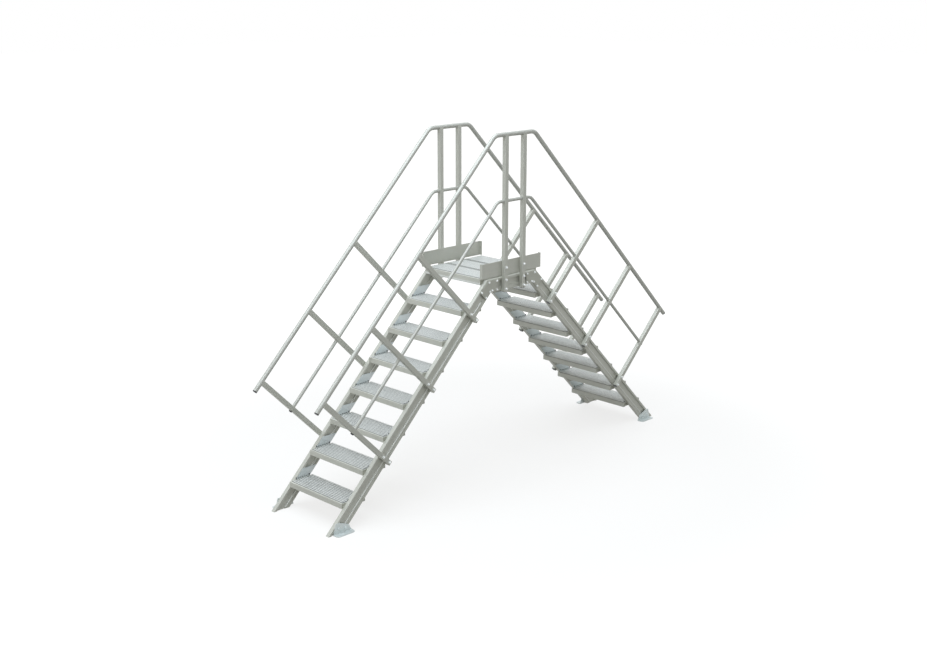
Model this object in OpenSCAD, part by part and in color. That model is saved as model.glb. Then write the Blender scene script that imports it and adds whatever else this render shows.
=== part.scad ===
// Crossover platform: two facing flights of seven treads, a deck and guard rails on both sides.
// X runs along the way over, Y across it, Z up. The origin is on the floor under the deck's middle.

/* [Stair] */
// Height of one rise
rise = 200; // [180:5:240]
// Depth of one going
going = 200; // [180:5:240]
// Treads in each flight
treads = 7; // [6:1:9]
// Clear width between the stringers
clear_w = 600; // [500:10:1000]
// Depth of a tread from nose to back
tread_depth = 220; // [200:5:240]
// Height of a tread's nose
tread_h = 40; // [30:1:45]
// Distance from the deck's middle to the line of noses, at the frame's top
nose_run = 324; // [310:2:420]

/* [Deck] */
// Planks that make the deck
planks = 3; // [2:1:5]
// Length of the deck along the way over
deck_len = 636; // [600:4:720]
// Height of the deck's top over the frame's top
deck_lift = 15; // [5:1:25]
// Height of a deck plank's nose
plank_h = 50; // [40:1:60]
// Gap between two planks
plank_gap = 2; // [1:0.5:6]

/* [Extrusions] */
// Thickness of the top skin of treads and planks
skin = 5; // [4:0.5:8]
// Thickness of the legs of treads and planks
leg_t = 4; // [3:0.5:6]
// Width of a tread's turned-in bottom lip
lip_w = 18; // [10:1:30]
// Radius of a tread's upper nose edge
nose_r = 3; // [1:0.5:5]
// Depth of a stringer, square to the slope
frame_depth = 100; // [90:1:120]
// Width of a stringer, across the stair
frame_w = 34; // [30:1:50]
// Depth of the stringer's front flange
front_flange = 17; // [12:1:22]
// Depth of the stringer's rear flange
rear_flange = 13; // [10:1:18]
// Depth of the shallow step in front of the rear flange
step_depth = 17; // [10:1:20]
// How far the stringer's web lies under its flanges
web_recess = 9; // [4:0.5:11]
// How far the shallow step lies under the flanges
step_recess = 2.5; // [1:0.5:4]
// How far the noses stand out in front of the stringers
nose_out = 34; // [20:1:45]

/* [Posts and rails] */
// Width of the square post tube
post_w = 35; // [30:1:45]
// Radius of the post's edges
post_r = 3; // [1:0.5:6]
// Distance between the two platform posts on one side
platform_post_gap = 200; // [180:5:280]
// How far a post runs on past the frame's underside
post_tail = 8; // [2:1:20]
// Distance down the slope from the deck's nose line to the first flight post
first_post = 266; // [220:2:300]
// Distance along the slope between flight posts
post_pitch = 636; // [560:2:640]
// Flight posts on each side of a flight
flight_posts = 3; // [3:1:3]
// Diameter of the top rail
rail_d = 34; // [30:0.5:42]
// Height of the top rail over the deck
guard_h = 1095; // [1000:5:1200]
// Height of the top rail over the noses
hand_h = 1010; // [900:5:1100]
// Radius of the top rail's bends, on its axis
rail_bend_r = 85; // [80, 85, 95, 100, 110]
// How far the top rail runs on past the lowest post
rail_over = 82; // [40:1:150]
// Diameter of the knee rail
knee_d = 25; // [18:0.5:28]
// Height of the knee rail's axis over the deck
knee_guard_h = 578; // [500:2:620]
// Height of the knee rail's axis over the noses
knee_hand_h = 452; // [400:2:500]
// Radius of the knee rail's bends, on its axis
knee_bend_r = 75; // [60, 65, 75, 80]
// How far the knee rail runs on past the lowest post's axis
knee_over = 21; // [20:1:60]
// Clearance of the knee rail in a post, all round
knee_fit = 0.2; // [0.1:0.1:0.5]
// Length of a rail's end cap
cap_len = 6; // [4:1:12]

/* [Toe boards] */
// Height of a toe board
toe_h = 115; // [100:1:150]
// Height of the toe board's bottom over the deck
toe_lift = 1; // [0:1:10]
// Thickness of the toe board's sheet
toe_t = 3; // [2:0.5:5]
// Length of a toe board
toe_len = 660; // [600:5:760]
// Width of the toe board's folded ends
toe_return = 24; // [15:1:30]

/* [Plates and feet] */
// Thickness of the elbow plates
elbow_t = 5; // [4:0.5:8]
// Length of an elbow plate along each arm, from the elbow's outer corner
elbow_arm = 115; // [100:1:140]
// Distance from the frame's edges to the elbow plate
elbow_inset = 7; // [4:1:12]
// Thickness of a foot bracket
foot_t = 6; // [4:0.5:8]
// Length of a foot bracket
foot_len = 166; // [140:2:200]
// Width of a foot bracket's floor leg
foot_w = 56; // [45:1:70]
// Height of a foot bracket's upright leg
foot_h = 82; // [60:2:110]
// Height of the upright leg's lower corner
foot_low_h = 50; // [30:2:58]
// Distance from the stringer's heel out to the foot bracket's middle
foot_shift = 18; // [0:1:40]
// Corner radius of a foot bracket
foot_r = 24; // [10:1:28]
// Diameter of the anchor hole
anchor_d = 13; // [9:0.5:18]
// Distance from the stringer to the anchor hole's axis
anchor_out = 20; // [18:1:30]

/* [Hidden] */

round_fn = 64;
edge_fn = 24;
aluminium = "#b9bcb6";
deck_alu = "#c6c8c8";
zinc = "#a9b4b6";
cap_black = "#202124";

slope = atan2(rise, going);
frame_top = rise * (treads + 1);
deck_top = frame_top + deck_lift;
inner_y = clear_w / 2;
outer_y = inner_y + frame_w;
post_y = outer_y + post_w / 2;
rear_out = nose_out + frame_depth;
elbow_turn = tan(slope / 2);
flight_len = frame_top / sin(slope);
reach = flight_len + 4 * frame_depth;
margin = frame_depth / 2;

rail_z = deck_top + guard_h - rail_d / 2;
rail_off = hand_h * cos(slope) - rail_d / 2;
knee_z = deck_top + knee_guard_h;
knee_off = knee_hand_h * cos(slope);
last_post = first_post + (flight_posts - 1) * post_pitch;

// Distance from the middle, at height z, to a line that lies off square to the slope from the noses
function slope_x(z, off) = nose_run + (frame_top - z) / tan(slope) + off / sin(slope);
// Distance from the middle to the elbow's mitre, at height z
function mitre_x(z) = slope_x(frame_top, -nose_out) - (frame_top - z) * elbow_turn;

// Moves a child from the slope's own frame: X up the slope, Z square to it, zero on the nose line
module on_slope() {
    translate([-nose_run, 0, frame_top]) {
        rotate([0, -slope, 0]) {
            children();
        }
    }
}

// Mirrors a child made for the left flight, on the near side
module placed(right, far) {
    mirror([right ? 1 : 0, 0, 0]) {
        mirror([0, far ? 1 : 0, 0]) {
            children();
        }
    }
}

// Half of the frame section's outline: distance from the section's middle, distance under the front
function half_section() = [
    [frame_w / 2, 0],
    [frame_w / 2, -front_flange],
    [frame_w / 2 - web_recess, -front_flange],
    [frame_w / 2 - web_recess, -(frame_depth - rear_flange - step_depth)],
    [frame_w / 2 - step_recess, -(frame_depth - rear_flange - step_depth)],
    [frame_w / 2 - step_recess, -(frame_depth - rear_flange)],
    [frame_w / 2, -(frame_depth - rear_flange)],
    [frame_w / 2, -frame_depth]
];

// Bar of the frame section along X, with its front face up at Z = 0
module frame_bar(length) {
    half = half_section();
    count = len(half);
    other = [for (i = [count - 1 : -1 : 0]) [-half[i][0], half[i][1]]];
    rotate([90, 0, 90]) {
        linear_extrude(length) {
            polygon(concat(half, other));
        }
    }
}

// Square with round corners, as unions of plain shapes
module rounded_square(w, r) {
    square([w, w - 2 * r], center = true);
    square([w - 2 * r, w], center = true);
    for (x = [-1, 1], y = [-1, 1]) {
        translate([x * (w / 2 - r), y * (w / 2 - r)]) {
            circle(r = r, $fn = edge_fn);
        }
    }
}

// Outline drawn in X and Z, given thickness from y towards -Y
module upright_plate(y, t) {
    translate([0, y, 0]) {
        rotate([90, 0, 0]) {
            linear_extrude(t) {
                children();
            }
        }
    }
}

module stringer() {
    low = frame_top - frame_depth - margin;
    high = frame_top + margin;
    color(aluminium) intersection() {
        on_slope() {
            translate([-reach + 2 * frame_depth, -(inner_y + frame_w / 2), -nose_out]) {
                frame_bar(reach);
            }
        }
        upright_plate(0, 2 * outer_y) {
            polygon([
                [-slope_x(0, 0) - margin, 0],
                [-slope_x(0, 0) - margin, high],
                [-mitre_x(high), high],
                [-mitre_x(low), low],
                [-mitre_x(low), 0]
            ]);
        }
    }
}

module platform_beam() {
    low = frame_top - frame_depth - margin;
    high = frame_top + margin;
    color(aluminium) intersection() {
        translate([-nose_run, -(inner_y + frame_w / 2), frame_top]) {
            frame_bar(2 * nose_run);
        }
        upright_plate(0, 2 * outer_y) {
            polygon([
                [-mitre_x(high), high],
                [mitre_x(high), high],
                [mitre_x(low), low],
                [-mitre_x(low), low]
            ]);
        }
    }
}

// Open-bottomed channel of an extruded step, nose at X = 0, top at Z = 0
module step_section(depth, height) {
    difference() {
        union() {
            translate([nose_r, -height]) {
                square([depth - 2 * nose_r, height]);
            }
            translate([0, -height]) {
                square([depth, height - nose_r]);
            }
            for (x = [nose_r, depth - nose_r]) {
                translate([x, -nose_r]) {
                    circle(r = nose_r, $fn = edge_fn);
                }
            }
        }
        translate([leg_t, -height + leg_t]) {
            square([depth - 2 * leg_t, height - leg_t - skin]);
        }
        translate([leg_t + lip_w, -height - 1]) {
            square([depth - 2 * (leg_t + lip_w), leg_t + 2]);
        }
    }
}

module step_bar(depth, height) {
    upright_plate(inner_y, clear_w) {
        step_section(depth, height);
    }
}

// Tread number i from the floor up
module tread(i) {
    color(deck_alu) translate([-slope_x(i * rise, 0), 0, i * rise]) {
        step_bar(tread_depth, tread_h);
    }
}

module deck_plank(i) {
    pitch = (deck_len + plank_gap) / planks;
    color(deck_alu) translate([-deck_len / 2 + (i - 1) * pitch, 0, deck_top]) {
        step_bar(pitch - plank_gap, plank_h);
    }
}

module toe_board() {
    x = toe_len / 2;
    color(aluminium) translate([0, 0, deck_top + toe_lift]) {
        linear_extrude(toe_h) {
            polygon([
                [-x, -outer_y],
                [x, -outer_y],
                [x, -outer_y + toe_return],
                [x - toe_t, -outer_y + toe_return],
                [x - toe_t, -outer_y + toe_t],
                [-x + toe_t, -outer_y + toe_t],
                [-x + toe_t, -outer_y + toe_return],
                [-x, -outer_y + toe_return]
            ]);
        }
    }
}

// Point on a plate that follows the elbow: off under the frame's face, run along the level or sloping arm
function level_point(run, off) = [-slope_x(frame_top, -nose_out) + run, frame_top - off];
function sloped_point(run, off) = [
    -slope_x(frame_top, -nose_out) - run * cos(slope) + off * sin(slope),
    frame_top - run * sin(slope) - off * cos(slope)
];

module elbow_plate() {
    low = frame_depth - elbow_inset;
    turn = elbow_inset * elbow_turn;
    inner = low * elbow_turn;
    color(aluminium) upright_plate(-outer_y, elbow_t) {
        polygon([
            sloped_point(elbow_arm, elbow_inset),
            level_point(turn, elbow_inset),
            level_point(elbow_arm, elbow_inset),
            level_point(elbow_arm, low),
            level_point(inner, low),
            sloped_point(elbow_arm, low)
        ]);
    }
}

module platform_post(x) {
    bottom = frame_top - frame_depth - post_tail;
    difference() {
        translate([x, -post_y, bottom]) {
            linear_extrude(rail_z - bottom) {
                rounded_square(post_w, post_r);
            }
        }
        translate([x, -post_y, rail_z]) {
            rotate([0, 90, 0]) {
                cylinder(h = 2 * post_w, d = rail_d, center = true, $fn = round_fn);
            }
        }
        translate([x, -post_y, knee_z]) {
            rotate([0, 90, 0]) {
                cylinder(h = 2 * post_w, d = knee_d + 2 * knee_fit, center = true, $fn = round_fn);
            }
        }
    }
}

module platform_posts() {
    color(aluminium) for (side = [-1, 1]) {
        platform_post(side * platform_post_gap / 2);
    }
}

// Post square to the slope, run down the slope from the deck's nose line
module flight_post(run) {
    bottom = -rear_out - post_tail;
    difference() {
        translate([-run, -post_y, bottom]) {
            linear_extrude(rail_off - bottom) {
                rounded_square(post_w, post_r);
            }
        }
        translate([-run, -post_y, rail_off]) {
            rotate([0, 90, 0]) {
                cylinder(h = 2 * post_w, d = rail_d, center = true, $fn = round_fn);
            }
        }
        translate([-run, -post_y, knee_off]) {
            rotate([0, 90, 0]) {
                cylinder(h = 2 * post_w, d = knee_d + 2 * knee_fit, center = true, $fn = round_fn);
            }
        }
    }
}

module flight_post_row() {
    color(aluminium) on_slope() {
        for (i = [0 : flight_posts - 1]) {
            flight_post(first_post + i * post_pitch);
        }
    }
}

// Round bar that is level over the deck and bends down along both flights
module bent_rail(d, z, off, bend_r, over) {
    corner = slope_x(z, off);
    tangent = bend_r * elbow_turn;
    level = corner - tangent;
    high_end = (nose_run - corner) * cos(slope) + (z - frame_top) * sin(slope) - tangent;
    sloping = last_post + over + high_end;
    color(aluminium) for (side = [0, 1]) {
        mirror([side, 0, 0]) {
            translate([-level, -post_y, z - bend_r]) {
                translate([0, 0, bend_r]) {
                    rotate([0, 90, 0]) {
                        cylinder(h = level, d = d, $fn = round_fn);
                    }
                }
                rotate([0, -slope, 0]) {
                    translate([0, 0, bend_r]) {
                        rotate([0, -90, 0]) {
                            cylinder(h = sloping, d = d, $fn = round_fn);
                        }
                    }
                    rotate([90, 0, 0]) {
                        rotate([0, 0, 90 - slope]) {
                            rotate_extrude(angle = slope, $fn = 2 * round_fn) {
                                translate([bend_r, 0]) {
                                    circle(d = d, $fn = round_fn);
                                }
                            }
                        }
                    }
                }
            }
        }
    }
}

module top_rail() {
    bent_rail(rail_d, rail_z, rail_off, rail_bend_r, rail_over);
}

module knee_rail() {
    bent_rail(knee_d, knee_z, knee_off, knee_bend_r, knee_over);
}

// Caps on all four ends of a pair of rails
module rail_caps(d, off, over) {
    color(cap_black) for (right = [false, true], far = [false, true]) {
        placed(right, far) {
            on_slope() {
                translate([-(last_post + over + cap_len), -post_y, off]) {
                    rotate([0, 90, 0]) {
                        cylinder(h = cap_len, d = d, $fn = round_fn);
                    }
                }
            }
        }
    }
}

// Outline of the floor leg, from the stringer's face outwards, centred on X
module foot_floor_outline() {
    half = foot_len / 2;
    difference() {
        union() {
            translate([-half, -foot_w + foot_r]) {
                square([foot_len, foot_w - foot_r]);
            }
            translate([-half + foot_r, -foot_w]) {
                square([foot_len - 2 * foot_r, foot_w]);
            }
            for (side = [-1, 1]) {
                translate([side * (half - foot_r), -foot_w + foot_r]) {
                    circle(r = foot_r, $fn = round_fn);
                }
            }
        }
        translate([0, -anchor_out]) {
            circle(d = anchor_d, $fn = round_fn);
        }
    }
}

module foot() {
    half = foot_len / 2;
    color(zinc) translate([-slope_x(0, -rear_out) - foot_shift, 0, 0]) {
        translate([0, -outer_y, 0]) {
            linear_extrude(foot_t) {
                foot_floor_outline();
            }
        }
        upright_plate(-outer_y, foot_t) {
            polygon([
                [-half, 0],
                [-half, foot_t],
                [-half + foot_r, foot_h],
                [-foot_r, foot_h],
                [half - foot_r, foot_low_h],
                [half, foot_t],
                [half, 0]
            ]);
        }
    }
}

placed(false, false) stringer();  // stringer_left_near
placed(false, true) stringer();  // stringer_left_far
placed(true, false) stringer();  // stringer_right_near
placed(true, true) stringer();  // stringer_right_far
for (i = [1 : treads]) {
    placed(false, false) tread(i);
    placed(true, false) tread(i);
}
for (i = [1 : planks]) {
    deck_plank(i);
}
placed(false, false) platform_beam();  // platform_beam_near
placed(false, true) platform_beam();  // platform_beam_far
placed(false, false) toe_board();  // toe_board_near
placed(false, true) toe_board();  // toe_board_far
placed(false, false) elbow_plate();  // elbow_plate_left_near
placed(false, true) elbow_plate();  // elbow_plate_left_far
placed(true, false) elbow_plate();  // elbow_plate_right_near
placed(true, true) elbow_plate();  // elbow_plate_right_far
placed(false, false) platform_posts();  // platform_posts_near
placed(false, true) platform_posts();  // platform_posts_far
placed(false, false) flight_post_row();  // flight_posts_left_near
placed(false, true) flight_post_row();  // flight_posts_left_far
placed(true, false) flight_post_row();  // flight_posts_right_near
placed(true, true) flight_post_row();  // flight_posts_right_far
placed(false, false) top_rail();  // top_rail_near
placed(false, true) top_rail();  // top_rail_far
placed(false, false) knee_rail();  // knee_rail_near
placed(false, true) knee_rail();  // knee_rail_far
rail_caps(rail_d, rail_off, rail_over);  // top_rail_caps
rail_caps(knee_d, knee_off, knee_over);  // knee_rail_caps
placed(false, false) foot();  // foot_left_near
placed(false, true) foot();  // foot_left_far
placed(true, false) foot();  // foot_right_near
placed(true, true) foot();  // foot_right_far
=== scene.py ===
import math

import bmesh
import bpy
from mathutils import Matrix, Vector


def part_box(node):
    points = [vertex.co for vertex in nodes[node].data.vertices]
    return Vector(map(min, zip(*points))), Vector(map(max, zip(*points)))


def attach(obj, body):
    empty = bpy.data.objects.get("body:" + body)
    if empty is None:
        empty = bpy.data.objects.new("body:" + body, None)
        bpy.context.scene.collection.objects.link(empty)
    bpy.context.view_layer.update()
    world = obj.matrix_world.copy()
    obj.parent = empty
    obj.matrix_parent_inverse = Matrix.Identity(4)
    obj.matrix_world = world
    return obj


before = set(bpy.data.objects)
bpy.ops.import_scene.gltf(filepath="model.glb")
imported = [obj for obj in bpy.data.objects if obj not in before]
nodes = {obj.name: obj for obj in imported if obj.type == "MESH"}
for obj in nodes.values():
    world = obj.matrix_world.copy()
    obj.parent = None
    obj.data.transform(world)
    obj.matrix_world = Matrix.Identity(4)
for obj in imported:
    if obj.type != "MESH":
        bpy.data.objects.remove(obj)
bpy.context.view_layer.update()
print("frame loaded:", len(nodes), "nodes")

slope = math.radians(45)
run = Vector((math.cos(slope), 0, math.sin(slope)))  # up the left flight
lift = Vector((-math.sin(slope), 0, math.cos(slope)))  # square to it, outwards

stair = {
    "noseLine": Vector((-0.324, 0, 1.6)),  # where the line of noses meets the frame's top
    "treads": 7,
    "planks": 3,
    "innerFace": 0.3,
    "outerFace": 0.334,
    "postFace": 0.369,
    "postMiddle": 0.3515,
    "frontFace": 0.034,  # of a stringer, behind the noses
    "frameDepth": 0.1,
    "postRuns": (0.266, 0.902, 1.538),
    "platformPosts": (-0.1, 0.1),
}


def onSlope(down, out, y):
    return stair["noseLine"] - run * down + lift * out + Vector((0, y, 0))


def fourWays(point):  # the same point on both flights and both sides
    for sideX in (1, -1):
        for sideY in (1, -1):
            yield Vector((point.x * sideX, point.y * sideY, point.z)), sideX, sideY


# Shading
class Wire:  # a socket that can be used in sums
    def __init__(self, sheet, socket):
        self.sheet = sheet
        self.socket = socket

    def maths(self, operation, first, second):
        return self.sheet.node("ShaderNodeMath", {"operation": operation}, {0: first, 1: second})

    def __add__(self, other):
        return self.maths("ADD", self, other)

    def __radd__(self, other):
        return self.maths("ADD", other, self)

    def __sub__(self, other):
        return self.maths("SUBTRACT", self, other)

    def __rsub__(self, other):
        return self.maths("SUBTRACT", other, self)

    def __mul__(self, other):
        return self.maths("MULTIPLY", self, other)

    def __rmul__(self, other):
        return self.maths("MULTIPLY", other, self)


class Sheet:  # a node tree that is being drawn
    def __init__(self, tree):
        self.tree = tree
        tree.nodes.clear()

    def node(self, kind, settings=None, inputs=None, output=0):
        made = self.tree.nodes.new(kind)
        for key, value in (settings or {}).items():
            if key == "stops":
                while len(made.color_ramp.elements) < len(value):
                    made.color_ramp.elements.new(0.5)
                for stop, (place, tone) in zip(made.color_ramp.elements, value):
                    stop.position = place
                    stop.color = (tone, tone, tone, 1)
            else:
                setattr(made, key, value)
        for key, value in (inputs or {}).items():
            if isinstance(value, Wire):
                self.tree.links.new(value.socket, made.inputs[key])
            else:
                made.inputs[key].default_value = value
        return Wire(self, made.outputs[output]) if made.outputs else None

    def blend(self, amount, first, second):
        return self.node("ShaderNodeMix", {"data_type": "RGBA"}, {0: amount, 6: first, 7: second}, 2)


def newSheet(name):
    material = bpy.data.materials.new(name)
    material.use_nodes = True
    return material, Sheet(material.node_tree)


aluLook = {
    "dark": (0.545, 0.551, 0.488, 1),
    "light": (0.605, 0.611, 0.548, 1),
    "metallic": 0.26,
    "rough": 0.46,
    "roughSpan": 0.12,
    "along": 0.35,  # length of a drawing line
    "across": 0.0016,
    "turn": 0.0,
    "level": False,
    "bump": 0.30,
    "bumpDepth": 0.00008,
    "clouds": 7.0,
    "specks": 420.0,
}


def drawnAluminium(name, **changes):  # extruded metal with fine lines along it
    look = {**aluLook, **changes}
    material, sheet = newSheet(name)
    place = sheet.node("ShaderNodeTexCoord", output="Object")
    thin, length = look["across"], look["along"]
    sizes = (thin, length, thin) if look["level"] else (length, thin, thin)
    grain = sheet.node("ShaderNodeMapping", {"vector_type": "TEXTURE"},
                       {"Vector": place, "Rotation": (0, look["turn"], 0), "Scale": sizes})
    lines = sheet.node("ShaderNodeTexNoise", {}, {
        "Vector": grain, "Scale": 1.0, "Detail": 2.0, "Roughness": 0.55})
    cloud = sheet.node("ShaderNodeTexNoise", {}, {
        "Vector": place, "Scale": look["clouds"], "Detail": 3.0, "Roughness": 0.6})
    speck = sheet.node("ShaderNodeTexNoise", {}, {"Vector": place, "Scale": look["specks"], "Detail": 1.0})
    tone = cloud * 0.5 + lines * 0.4 + speck * 0.1
    spread = sheet.node("ShaderNodeValToRGB", {"stops": [(0.34, 0.0), (0.66, 1.0)]}, {"Fac": tone})
    colour = sheet.blend(spread, look["dark"], look["light"])
    rough = (lines - 0.5) * look["roughSpan"] + (cloud - 0.5) * 0.12 + look["rough"]
    relief = sheet.node("ShaderNodeBump", {}, {
        "Strength": look["bump"], "Distance": look["bumpDepth"], "Height": lines * 0.7 + speck * 0.3})
    surface = sheet.node("ShaderNodeBsdfPrincipled", {}, {
        "Base Color": colour, "Metallic": look["metallic"], "Roughness": rough, "Normal": relief})
    sheet.node("ShaderNodeOutputMaterial", {}, {"Surface": surface})
    return material


zincLook = {
    "dark": (0.60, 0.655, 0.648, 1),
    "light": (0.76, 0.81, 0.802, 1),
    "metallic": 0.45,
    "rough": 0.38,
    "grain": 130.0,
    "clouds": 22.0,
    "bump": 0.12,
    "bumpDepth": 0.0005,
}


def zincCoat(name, **changes):  # galvanised skin with small crystals
    look = {**zincLook, **changes}
    material, sheet = newSheet(name)
    place = sheet.node("ShaderNodeTexCoord", output="Object")
    crystal = sheet.node("ShaderNodeTexVoronoi", {}, {"Vector": place, "Scale": look["grain"]}, "Color")
    shade = sheet.node("ShaderNodeSeparateColor", {}, {"Color": crystal})
    cloud = sheet.node("ShaderNodeTexNoise", {}, {"Vector": place, "Scale": look["clouds"], "Detail": 4.0})
    tone = shade * 0.55 + cloud * 0.45
    colour = sheet.blend(tone, look["dark"], look["light"])
    rough = (shade - 0.5) * 0.18 + look["rough"]
    relief = sheet.node("ShaderNodeBump", {}, {
        "Strength": look["bump"], "Distance": look["bumpDepth"], "Height": cloud})
    surface = sheet.node("ShaderNodeBsdfPrincipled", {}, {
        "Base Color": colour, "Metallic": look["metallic"], "Roughness": rough, "Normal": relief})
    sheet.node("ShaderNodeOutputMaterial", {}, {"Surface": surface})
    return material


plasticLook = {
    "dark": (0.012, 0.012, 0.014, 1),
    "light": (0.03, 0.03, 0.033, 1),
    "rough": 0.45,
    "pebbles": 900.0,
    "clouds": 60.0,
    "bump": 0.2,
    "bumpDepth": 0.0004,
}


def mouldedPlastic(name, **changes):  # dark plastic with a fine pebbled skin
    look = {**plasticLook, **changes}
    material, sheet = newSheet(name)
    place = sheet.node("ShaderNodeTexCoord", output="Object")
    pebble = sheet.node("ShaderNodeTexNoise", {}, {"Vector": place, "Scale": look["pebbles"], "Detail": 2.0})
    cloud = sheet.node("ShaderNodeTexNoise", {}, {"Vector": place, "Scale": look["clouds"], "Detail": 2.0})
    colour = sheet.blend(cloud, look["dark"], look["light"])
    relief = sheet.node("ShaderNodeBump", {}, {
        "Strength": look["bump"], "Distance": look["bumpDepth"], "Height": pebble})
    surface = sheet.node("ShaderNodeBsdfPrincipled", {}, {
        "Base Color": colour, "Roughness": (cloud - 0.5) * 0.2 + look["rough"], "Normal": relief})
    sheet.node("ShaderNodeOutputMaterial", {}, {"Surface": surface})
    return material


quarter = math.radians(90)
finishes = {
    "stringerLeft": drawnAluminium("stringerLeftMetal", turn=-slope),
    "stringerRight": drawnAluminium("stringerRightMetal", turn=slope),
    "postLeft": drawnAluminium("postLeftMetal", turn=slope, rough=0.50, roughSpan=0.04, bump=0.06),
    "postRight": drawnAluminium("postRightMetal", turn=-slope, rough=0.50, roughSpan=0.04, bump=0.06),
    "postUpright": drawnAluminium("postUprightMetal", turn=-quarter, rough=0.48, roughSpan=0.05, bump=0.08),
    "level": drawnAluminium("levelMetal"),
    "plate": drawnAluminium("plateMetal", along=0.05, rough=0.44,
                            dark=(0.455, 0.461, 0.398, 1), light=(0.505, 0.511, 0.448, 1)),
    "rail": drawnAluminium("railMetal", along=0.03, across=0.02, rough=0.42, roughSpan=0.05, bump=0.05,
                           dark=(0.47, 0.476, 0.43, 1), light=(0.52, 0.526, 0.48, 1)),
    # paler than the steps' own metal: painted light on the tops of the grip pads; the deck's nose strips use
    # it too
    "tread": drawnAluminium("treadMetalPaintedLight", level=True, rough=0.40,
                            dark=(0.69, 0.705, 0.67, 1), light=(0.76, 0.775, 0.74, 1)),
    "nose": drawnAluminium("stepMetal", level=True, rough=0.40,
                           dark=(0.57, 0.577, 0.515, 1), light=(0.63, 0.637, 0.575, 1)),
    # near-black sheets: painted shade in the grooves between the grip pads and in the joints between the deck
    # planks
    "gapShade": drawnAluminium("gapShadePaint", level=True, rough=0.6,
                             dark=(0.11, 0.118, 0.118, 1), light=(0.15, 0.158, 0.157, 1)),
    # near-white: a painted highlight along the ledges in the stringers' recess
    "paintedHighlight": drawnAluminium("paintedHighlightMetal", turn=-slope, rough=0.36, roughSpan=0.04, bump=0.05,
                             dark=(0.84, 0.85, 0.82, 1), light=(0.92, 0.93, 0.90, 1)),
    # pale bluish sheets: painted light thrown by the treads onto the stringers' inner faces
    "bracket": zincCoat("bracketZincPaintedBounce", grain=160.0, metallic=0.25,
                        dark=(0.72, 0.78, 0.785, 1), light=(0.80, 0.86, 0.865, 1)),
    "zinc": zincCoat("zincCoat"),
    "bolt": zincCoat("boltZinc", grain=400.0, rough=0.28,
                     dark=(0.80, 0.82, 0.80, 1), light=(0.93, 0.95, 0.93, 1)),
    "cap": mouldedPlastic("capPlastic"),
    "screw": mouldedPlastic("screwBlack", rough=0.4,
                            dark=(0.07, 0.076, 0.08, 1), light=(0.12, 0.126, 0.13, 1)),
}

finishOf = [
    ("stringer_left", "stringerLeft"), ("stringer_right", "stringerRight"),
    ("flight_posts_left", "postLeft"), ("flight_posts_right", "postRight"),
    ("platform_posts", "postUpright"), ("platform_beam", "level"), ("toe_board", "level"),
    ("elbow_plate", "plate"), ("top_rail_caps", "cap"), ("knee_rail_caps", "cap"),
    ("top_rail", "rail"), ("knee_rail", "rail"), ("tread", "nose"), ("deck_plank", "nose"), ("foot", "zinc"),
]
for nodeName, thing in nodes.items():
    chosen = next(finish for start, finish in finishOf if nodeName.startswith(start))
    thing.data.materials.clear()
    thing.data.materials.append(finishes[chosen])
print("finishes on the frame's parts")


# Shaping
def block(bm, low, high, chamfer):
    made = bmesh.ops.create_cube(bm, size=1)["verts"]
    size = Vector(high) - Vector(low)
    bmesh.ops.scale(bm, vec=size, verts=made)
    bmesh.ops.translate(bm, vec=(Vector(low) + Vector(high)) / 2, verts=made)
    if chamfer:
        edges = list({e for v in made for e in v.link_edges})
        bmesh.ops.bevel(bm, geom=edges, offset=chamfer, segments=1, profile=0.5, affect="EDGES", material=-1)


def repeat(bm, step, count):  # everything so far, again and again
    first = bm.verts[:] + bm.edges[:] + bm.faces[:]
    for n in range(1, count):
        copy = bmesh.ops.duplicate(bm, geom=first)["geom"]
        moved = [part for part in copy if isinstance(part, bmesh.types.BMVert)]
        bmesh.ops.translate(bm, vec=Vector(step) * n, verts=moved)


def stamp(bm, mesh, matrix):  # a copy of a small mesh, put in its place
    before = len(bm.verts)
    bm.from_mesh(mesh)
    bm.verts.ensure_lookup_table()
    bmesh.ops.transform(bm, matrix=matrix, verts=bm.verts[before:])


def facing(point, direction):
    return Matrix.Translation(point) @ Vector(direction).to_track_quat("Z", "Y").to_matrix().to_4x4()


def keepMesh(bm, name):
    mesh = bpy.data.meshes.new(name)
    bm.to_mesh(mesh)
    bm.free()
    return mesh


def finishPiece(bm, name, finish, mirrored=False):
    if mirrored:
        bmesh.ops.recalc_face_normals(bm, faces=bm.faces)
    mesh = keepMesh(bm, name)
    mesh.materials.append(finishes[finish])
    piece = bpy.data.objects.new(name, mesh)
    bpy.context.scene.collection.objects.link(piece)
    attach(piece, "root")
    print("piece", name, len(mesh.polygons), "faces")
    return piece


# Tread and deck grip
grip = {
    "rowPitch": 0.0200, "rowWidth": 0.0128,
    "padPitch": 0.030, "padLength": 0.0288, "height": 0.0030, "chamfer": 0.0010,
    "noseBand": 0.014, "backBand": 0.004, "sideBand": 0.008,  # left plain along the edges
    "floor": 0.0006, "floorSunk": 0.0004, "padSunk": 0.0005,
}


def grooveShadeSheet(bm, low, high, noseSign):  # a dark sheet under the pads, painted shade in the grooves between the rows
    bands = (grip["backBand"], grip["noseBand"]) if noseSign > 0 else (grip["noseBand"], grip["backBand"])
    block(bm, (low.x + bands[0], low.y + grip["sideBand"], high.z - grip["floorSunk"]),
          (high.x - bands[1], high.y - grip["sideBand"], high.z + grip["floor"]), 0)


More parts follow.
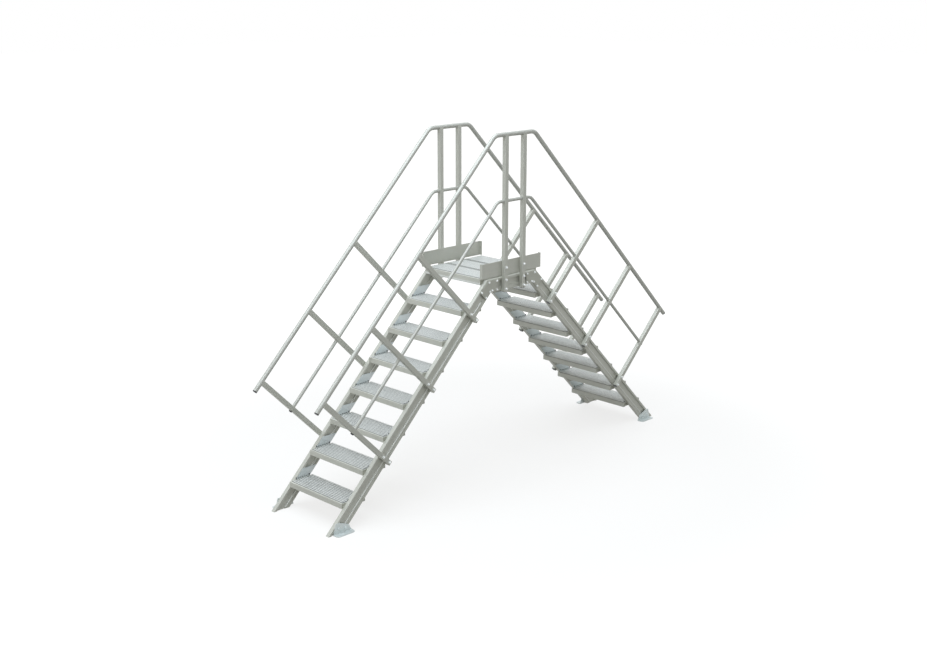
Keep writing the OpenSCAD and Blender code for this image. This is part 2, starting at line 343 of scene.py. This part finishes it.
def gripOver(bm, low, high, noseSign):  # rows of pads on one step, from its nose back
    depth = high.x - low.x - grip["noseBand"] - grip["backBand"]
    width = high.y - low.y - 2 * grip["sideBand"]
    rows = int(depth / grip["rowPitch"])
    columns = int(width / grip["padPitch"])
    spareX = depth - rows * grip["rowPitch"]
    firstX = high.x - grip["noseBand"] - grip["rowPitch"] if noseSign > 0 else low.x + grip["noseBand"]
    firstX += -noseSign * spareX / 2 + (grip["rowPitch"] - grip["rowWidth"]) / 2
    firstY = -columns * grip["padPitch"] / 2 + (grip["padPitch"] - grip["padLength"]) / 2
    block(bm, (firstX, firstY, high.z - grip["padSunk"]),
          (firstX + grip["rowWidth"], firstY + grip["padLength"], high.z + grip["height"]), 0)
    crown = [e for e in bm.edges if all(v.co.z > high.z + grip["height"] / 2 for v in e.verts)]
    bmesh.ops.bevel(bm, geom=crown, offset=grip["chamfer"], segments=1, profile=0.5,
                    affect="EDGES", material=-1)
    repeat(bm, (0, grip["padPitch"], 0), columns)
    repeat(bm, (-noseSign * grip["rowPitch"], 0, 0), rows)


gripped = (  # name of the grip, its steps, how many, which way the noses face, slot
    ("leftTread", "tread_left", stair["treads"], -1, "tread"),
    ("rightTread", "tread_right", stair["treads"], 1, "tread"),
    ("deck", "deck_plank", stair["planks"], -1, "deck"),
)
for name, steps, count, noseSign, slot in gripped:
    low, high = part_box(f"{steps}_1")
    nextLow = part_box(f"{steps}_2")[0]
    bm = bmesh.new()
    gripOver(bm, low, high, noseSign)
    repeat(bm, nextLow - low, count)
    finishPiece(bm, f"{name}Grip", "tread")
    bm = bmesh.new()
    grooveShadeSheet(bm, low, high, noseSign)
    repeat(bm, nextLow - low, count)
    finishPiece(bm, f"{name}GrooveShade", "gapShade")


# End plates, nose strips and seams of the steps
endPlate = {"thick": 0.003, "wall": 0.0042, "skin": 0.005, "lip": 0.004, "chamfer": 0.0005}
bm = bmesh.new()
for name in sorted(nodes):
    if name.startswith("tread_") or name.startswith("deck_plank"):
        low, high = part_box(name)
        for sideY in (1, -1):
            ends = sorted((sideY * high.y, sideY * (high.y - endPlate["thick"])))
            block(bm, (low.x + endPlate["wall"], ends[0], low.z + endPlate["lip"]),
                  (high.x - endPlate["wall"], ends[1], high.z - endPlate["skin"]), endPlate["chamfer"])
finishPiece(bm, "stepEndPlates", "plate")

noseStrip = {"height": 0.015, "proud": 0.0016, "sunk": 0.0005, "chamfer": 0.0007, "short": 0.002}
bm = bmesh.new()
for name, sideX in (("deck_plank_1", -1), ("deck_plank_3", 1)):
    low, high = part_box(name)
    face = low.x if sideX < 0 else high.x
    ends = sorted((face - sideX * noseStrip["sunk"], face + sideX * noseStrip["proud"]))
    block(bm, (ends[0], low.y + noseStrip["short"], low.z),
          (ends[1], high.y - noseStrip["short"], low.z + noseStrip["height"]), noseStrip["chamfer"])
finishPiece(bm, "deckNoseStrips", "tread")

# dark strips over the joints between the deck planks: painted shade in the gaps between them
joint = {"half": 0.0020, "proud": 0.0008, "deep": 0.003, "gap": 0.002}
bm = bmesh.new()
for name in ("deck_plank_1", "deck_plank_2"):
    low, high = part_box(name)
    middle = high.x + joint["gap"] / 2
    block(bm, (middle - joint["half"], low.y, high.z - joint["deep"]),
          (middle + joint["half"], high.y, high.z + joint["proud"]), 0)
finishPiece(bm, "deckJointShade", "gapShade")

ledge = {  # pale strips on the ledges of the stringers' recess, a painted highlight, in the slope's own directions
    "from": 0.125, "to": 2.150, "depth": 0.070, "thick": 0.0040,
    "under": 0.0008, "web": 0.009, "chamfer": 0.0003,
}
bm = bmesh.new()
front = -stair["frontFace"] - ledge["depth"]
for y in (-stair["outerFace"] + ledge["under"], -stair["innerFace"] - ledge["web"]):
    for sideX in (1, -1):
        for sideY in (1, -1):
            strip = bmesh.new()
            inward = y + ledge["web"] - ledge["under"]
            block(strip, (-ledge["to"], y, front), (-ledge["from"], inward, front + ledge["thick"]),
                  ledge["chamfer"])
            stripMesh = keepMesh(strip, "ledgeStrip")
            turned = Matrix.Translation(stair["noseLine"]) @ Matrix.Rotation(-slope, 4, "Y")
            stamp(bm, stripMesh, Matrix.Diagonal((sideX, sideY, 1, 1)) @ turned)
finishPiece(bm, "stringerLedgeHighlights", "paintedHighlight", mirrored=True)

# Sheet brackets that hold the treads to the stringers, with their fixings; their pale zinc also paints the
# light that the treads throw onto the stringers' inner faces
def treadEnds():  # both ends of every tread: its top, its nose, the way back from it, the side
    for side in ("left", "right"):
        for n in range(1, stair["treads"] + 1):
            low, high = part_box(f"tread_{side}_{n}")
            nose, back = (low.x, 1) if side == "left" else (high.x, -1)
            for sideY in (1, -1):
                yield high.z, nose, back, sideY


bracket = {"height": 0.074, "thick": 0.0018, "front": 0.052, "back": 0.186, "below": 0.002, "chamfer": 0.0004}
bm = bmesh.new()
for top, nose, back, sideY in treadEnds():
    plate = bmesh.new()
    made = bmesh.ops.create_cube(plate, size=1)["verts"]
    size = (bracket["back"] - bracket["front"], bracket["thick"], bracket["height"])
    bmesh.ops.scale(plate, vec=size, verts=made)
    for v in made:
        v.co.x += v.co.z + bracket["height"] / 2  # its ends follow the slope
    bmesh.ops.bevel(plate, geom=plate.edges[:], offset=bracket["chamfer"], segments=1, profile=0.5,
                    affect="EDGES", material=-1)
    place = Vector((nose + back * (bracket["front"] + bracket["back"]) / 2,
                    sideY * (stair["innerFace"] - bracket["thick"] / 2),
                    top + bracket["height"] / 2 - bracket["below"]))
    stamp(bm, keepMesh(plate, "bracketSheet"), Matrix.Translation(place) @ Matrix.Diagonal((back, 1, 1, 1)))
finishPiece(bm, "treadBrackets", "bracket", mirrored=True)

# short dark dashes in a row along each tread's end, just above its top
dashRow = {
    "dash": 0.012, "gap": 0.007, "count": 5,
    "height": 0.0040, "proud": 0.0026, "start": 0.078, "over": 0.006,
}
screw = {
    "radius": 0.0062, "narrow": 0.82, "height": 0.005, "sides": 12,
    "first": 0.062, "last": 0.184, "over": 0.012,
}

bm = bmesh.new()
bmesh.ops.create_cone(bm, cap_ends=True, segments=screw["sides"], radius1=screw["radius"],
                      radius2=screw["radius"] * screw["narrow"], depth=screw["height"],
                      matrix=Matrix.Translation((0, 0, screw["height"] / 2)))
screwMesh = keepMesh(bm, "screwHead")

bm = bmesh.new()
for top, nose, back, sideY in treadEnds():
    wall = sideY * stair["innerFace"]
    depths = sorted((wall, wall - sideY * dashRow["proud"]))
    for along in (screw["first"], screw["last"]):
        stamp(bm, screwMesh, facing((nose + back * along, wall, top + screw["over"]), (0, -sideY, 0)))
    for k in range(dashRow["count"]):
        start = dashRow["start"] + k * (dashRow["dash"] + dashRow["gap"])
        ends = sorted((nose + back * start, nose + back * (start + dashRow["dash"])))
        block(bm, (ends[0], depths[0], top + dashRow["over"]),
              (ends[1], depths[1], top + dashRow["over"] + dashRow["height"]), 0)
finishPiece(bm, "treadFixings", "screw")


# Bolts
bolt = {
    "washer": 0.0096, "washerHeight": 0.0016, "washerNarrow": 0.95, "washerSides": 20,
    "head": 0.0080, "headHeight": 0.0070, "round": 0.0009,
    "dome": 0.0040, "domeHeight": 0.0018, "domeNarrow": 0.6, "domeSides": 14,
    "small": 0.92, "large": 1.15,
}


def boltMesh(name, scale):  # washer, six-sided nut and a round end
    bm = bmesh.new()
    base = bolt["washerHeight"]
    top = base + bolt["headHeight"]
    bmesh.ops.create_cone(bm, cap_ends=True, segments=bolt["washerSides"], radius1=bolt["washer"],
                          radius2=bolt["washer"] * bolt["washerNarrow"], depth=base,
                          matrix=Matrix.Translation((0, 0, base / 2)))
    head = bmesh.ops.create_cone(bm, cap_ends=True, segments=6, radius1=bolt["head"], radius2=bolt["head"],
                                 depth=bolt["headHeight"],
                                 matrix=Matrix.Translation((0, 0, base + bolt["headHeight"] / 2)))["verts"]
    rim = [e for e in bm.edges if all(v in head and v.co.z > top - 0.0001 for v in e.verts)]
    bmesh.ops.bevel(bm, geom=rim, offset=bolt["round"], segments=2, profile=0.5, affect="EDGES", material=-1)
    bmesh.ops.create_cone(bm, cap_ends=True, segments=bolt["domeSides"], radius1=bolt["dome"],
                          radius2=bolt["dome"] * bolt["domeNarrow"], depth=bolt["domeHeight"],
                          matrix=Matrix.Translation((0, 0, top + bolt["domeHeight"] / 2)))
    bmesh.ops.scale(bm, vec=(scale, scale, scale), verts=bm.verts)
    return keepMesh(bm, name)


smallBolt = boltMesh("smallBolt", bolt["small"])
largeBolt = boltMesh("largeBolt", bolt["large"])

elbow = {  # each bolt's run from the corner and its depth under the top
    "level": ((0.018, 0.018), (0.104, 0.016), (0.050, 0.084), (0.104, 0.084)),
    "sloped": ((0.104, 0.016), (0.046, 0.084), (0.104, 0.084)),
    "face": 0.339,
}
corner = stair["noseLine"] + Vector((stair["frontFace"] / math.sin(slope), 0, 0))
bm = bmesh.new()
for along, depth in elbow["level"]:
    point = corner + Vector((along, -elbow["face"], -depth))
    for place, sideX, sideY in fourWays(point):
        stamp(bm, smallBolt, facing(place, (0, -sideY, 0)))
for along, depth in elbow["sloped"]:
    point = corner - run * along - lift * depth + Vector((0, -elbow["face"], 0))
    for place, sideX, sideY in fourWays(point):
        stamp(bm, smallBolt, facing(place, (0, -sideY, 0)))
finishPiece(bm, "elbowBolts", "bolt")

postFix = {"depths": (0.012, 0.090), "heights": (1.680, 1.584, 1.513)}
bm = bmesh.new()
for down in stair["postRuns"]:
    for depth in postFix["depths"]:
        point = onSlope(down, -stair["frontFace"] - depth, -stair["postFace"])
        for place, sideX, sideY in fourWays(point):
            stamp(bm, largeBolt, facing(place, (0, -sideY, 0)))
for x in stair["platformPosts"]:
    for z in postFix["heights"]:
        for sideY in (1, -1):
            stamp(bm, largeBolt, facing((x, -sideY * stair["postFace"], z), (0, -sideY, 0)))
finishPiece(bm, "postBolts", "bolt")

footFix = {"face": 0.340, "points": ((1.788, 0.042), (1.728, 0.034))}
bm = bmesh.new()
for x, z in footFix["points"]:
    for place, sideX, sideY in fourWays(Vector((-x, -footFix["face"], z))):
        stamp(bm, smallBolt, facing(place, (0, -sideY, 0)))
finishPiece(bm, "footBolts", "zinc")


# Post ends and knee rail collars
plug = {"half": 0.0162, "thick": 0.0028, "chamfer": 0.0012, "tail": 0.008}
bm = bmesh.new()
block(bm, (-plug["half"], -plug["half"], 0), (plug["half"], plug["half"], plug["thick"]), plug["chamfer"])
plugMesh = keepMesh(bm, "postPlug")
bm = bmesh.new()
for down in stair["postRuns"]:
    point = onSlope(down, -stair["frontFace"] - stair["frameDepth"] - plug["tail"], -stair["postMiddle"])
    for place, sideX, sideY in fourWays(point):
        away = Vector((-lift.x * sideX, 0, -lift.z))
        turn = Matrix.Rotation(math.atan2(away.x, away.z), 4, "Y")
        stamp(bm, plugMesh, Matrix.Translation(place) @ turn)
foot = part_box("platform_posts_near")[0].z
upsideDown = Matrix.Rotation(math.pi, 4, "Y")
for x in stair["platformPosts"]:
    for sideY in (1, -1):
        stamp(bm, plugMesh, Matrix.Translation((x, sideY * stair["postMiddle"], foot)) @ upsideDown)
finishPiece(bm, "postPlugs", "screw")

collar = {
    "inner": 0.0126, "outer": 0.0150, "width": 0.0022, "taper": 0.0006, "steps": 24,
    "kneeOut": 0.3196, "kneeHeight": 2.193, "half": 0.0175,  # where the knee rail meets a post's face
}
bm = bmesh.new()
corners = [bm.verts.new((radius, 0, z)) for radius, z in (
    (collar["inner"], 0), (collar["outer"], 0),
    (collar["outer"] - collar["taper"], collar["width"]), (collar["inner"], collar["width"]))]
outline = [bm.edges.new((corners[k], corners[(k + 1) % 4])) for k in range(4)]
bmesh.ops.spin(bm, geom=corners + outline, cent=(0, 0, 0), axis=(0, 0, 1), angle=math.tau,
               steps=collar["steps"], use_merge=True)
bmesh.ops.remove_doubles(bm, verts=bm.verts, dist=0.00001)
bmesh.ops.recalc_face_normals(bm, faces=bm.faces)
collarMesh = keepMesh(bm, "collarRing")
bm = bmesh.new()
for down in stair["postRuns"]:
    for way in (1, -1):
        point = onSlope(down - way * collar["half"], collar["kneeOut"], -stair["postMiddle"])
        for place, sideX, sideY in fourWays(point):
            stamp(bm, collarMesh, facing(place, (run.x * way * sideX, 0, run.z * way)))
for x in stair["platformPosts"]:
    for way in (1, -1):
        for sideY in (1, -1):
            point = (x + way * collar["half"], sideY * stair["postMiddle"], collar["kneeHeight"])
            stamp(bm, collarMesh, facing(point, (way, 0, 0)))
finishPiece(bm, "kneeCollars", "rail")


# Camera, floor and light
def aimed(settings):  # turn from a place towards its target
    sight = Vector(settings["target"]) - Vector(settings["place"])
    return sight.to_track_quat("-Z", "Y").to_euler()


def directRays(sheet):  # 1 for the rays that should find a white background
    kinds = ("Is Camera Ray", "Is Glossy Ray", "Is Transmission Ray")
    seen, mirrored, through = (sheet.node("ShaderNodeLightPath", output=kind) for kind in kinds)
    return seen + mirrored + through


camera = {
    "place": (-7.1661, -6.9707, 3.8000),
    "target": (-0.1954, 0.0, 1.1746),
    "lens": 50.2,
    "sensor": 36,
    "clipEnd": 400,
}
lens = bpy.data.cameras.new("viewCamera")
lens.sensor_fit = "HORIZONTAL"
lens.sensor_width = camera["sensor"]
lens.lens = camera["lens"]
lens.clip_end = camera["clipEnd"]
viewer = bpy.data.objects.new("viewCamera", lens)
bpy.context.scene.collection.objects.link(viewer)
viewer.location = camera["place"]
viewer.rotation_euler = aimed(camera)
bpy.context.scene.camera = viewer

stage = {
    "halfSize": 60.0, "drop": 0.0005, "albedo": (0.225, 0.225, 0.215, 1),
    "whiteShare": 0.78,  # of the floor's white that the lamps don't give
    "fadeFrom": 1.9, "fadeTo": 5.2, "fadeBy": 0.24,  # more of it further out, where the lamps fall off
}
bm = bmesh.new()
bmesh.ops.create_grid(bm, x_segments=2, y_segments=2, size=stage["halfSize"])
floor = bpy.data.objects.new("floor", keepMesh(bm, "floor"))
bpy.context.scene.collection.objects.link(floor)
floor.location.z = -stage["drop"]
material, sheet = newSheet("floorPaint")
matt = sheet.node("ShaderNodeBsdfDiffuse", {}, {"Color": stage["albedo"]})
spot = sheet.node("ShaderNodeTexCoord", output="Object")
away = sheet.node("ShaderNodeVectorMath", {"operation": "LENGTH"}, {0: spot}, "Value")
edge = sheet.node("ShaderNodeMapRange", {"interpolation_type": "SMOOTHSTEP"}, {
    "Value": away, "From Min": stage["fadeFrom"], "From Max": stage["fadeTo"],
    "To Min": 0.0, "To Max": stage["fadeBy"]})
glow = sheet.node("ShaderNodeEmission", {}, {
    "Color": (1, 1, 1, 1), "Strength": directRays(sheet) * (edge + stage["whiteShare"])})
both = sheet.node("ShaderNodeAddShader", {}, {0: matt, 1: glow})
sheet.node("ShaderNodeOutputMaterial", {}, {"Surface": both})
floor.data.materials.append(material)

air = {"strength": 0.27, "tint": (1.0, 1.0, 0.95, 1)}
world = bpy.data.worlds.new("studio")
bpy.context.scene.world = world
world.use_nodes = True
sheet = Sheet(world.node_tree)
plain = sheet.node("ShaderNodeBackground", {}, {"Color": air["tint"], "Strength": air["strength"]})
white = sheet.node("ShaderNodeBackground", {}, {"Color": (1, 1, 1, 1), "Strength": 1.0})
sky = sheet.node("ShaderNodeMixShader", {}, {0: directRays(sheet), 1: plain, 2: white})
sheet.node("ShaderNodeOutputWorld", {}, {"Surface": sky})

lamps = {
    "overhead": {"place": (-1.6, -0.3, 7.5), "target": (-0.2, 0, 0.8),
                 "size": 8.0, "power": 620, "tint": (0.81, 0.88, 0.98)},
    "leftFill": {"place": (-7.5, -0.6, 3.6), "target": (0, 0, 1.2),
                 "size": 5.0, "power": 85, "tint": (0.95, 0.98, 1.0)},
}
for name, lamp in lamps.items():
    light = bpy.data.lights.new(name, "AREA")
    light.shape = "SQUARE"
    light.size = lamp["size"]
    light.energy = lamp["power"]
    light.color = lamp["tint"]
    holder = bpy.data.objects.new(name, light)
    bpy.context.scene.collection.objects.link(holder)
    holder.location = lamp["place"]
    holder.rotation_euler = aimed(lamp)
bpy.context.scene.view_settings.view_transform = "Standard"
print("camera, floor and lamps set")

bpy.context.view_layer.update()
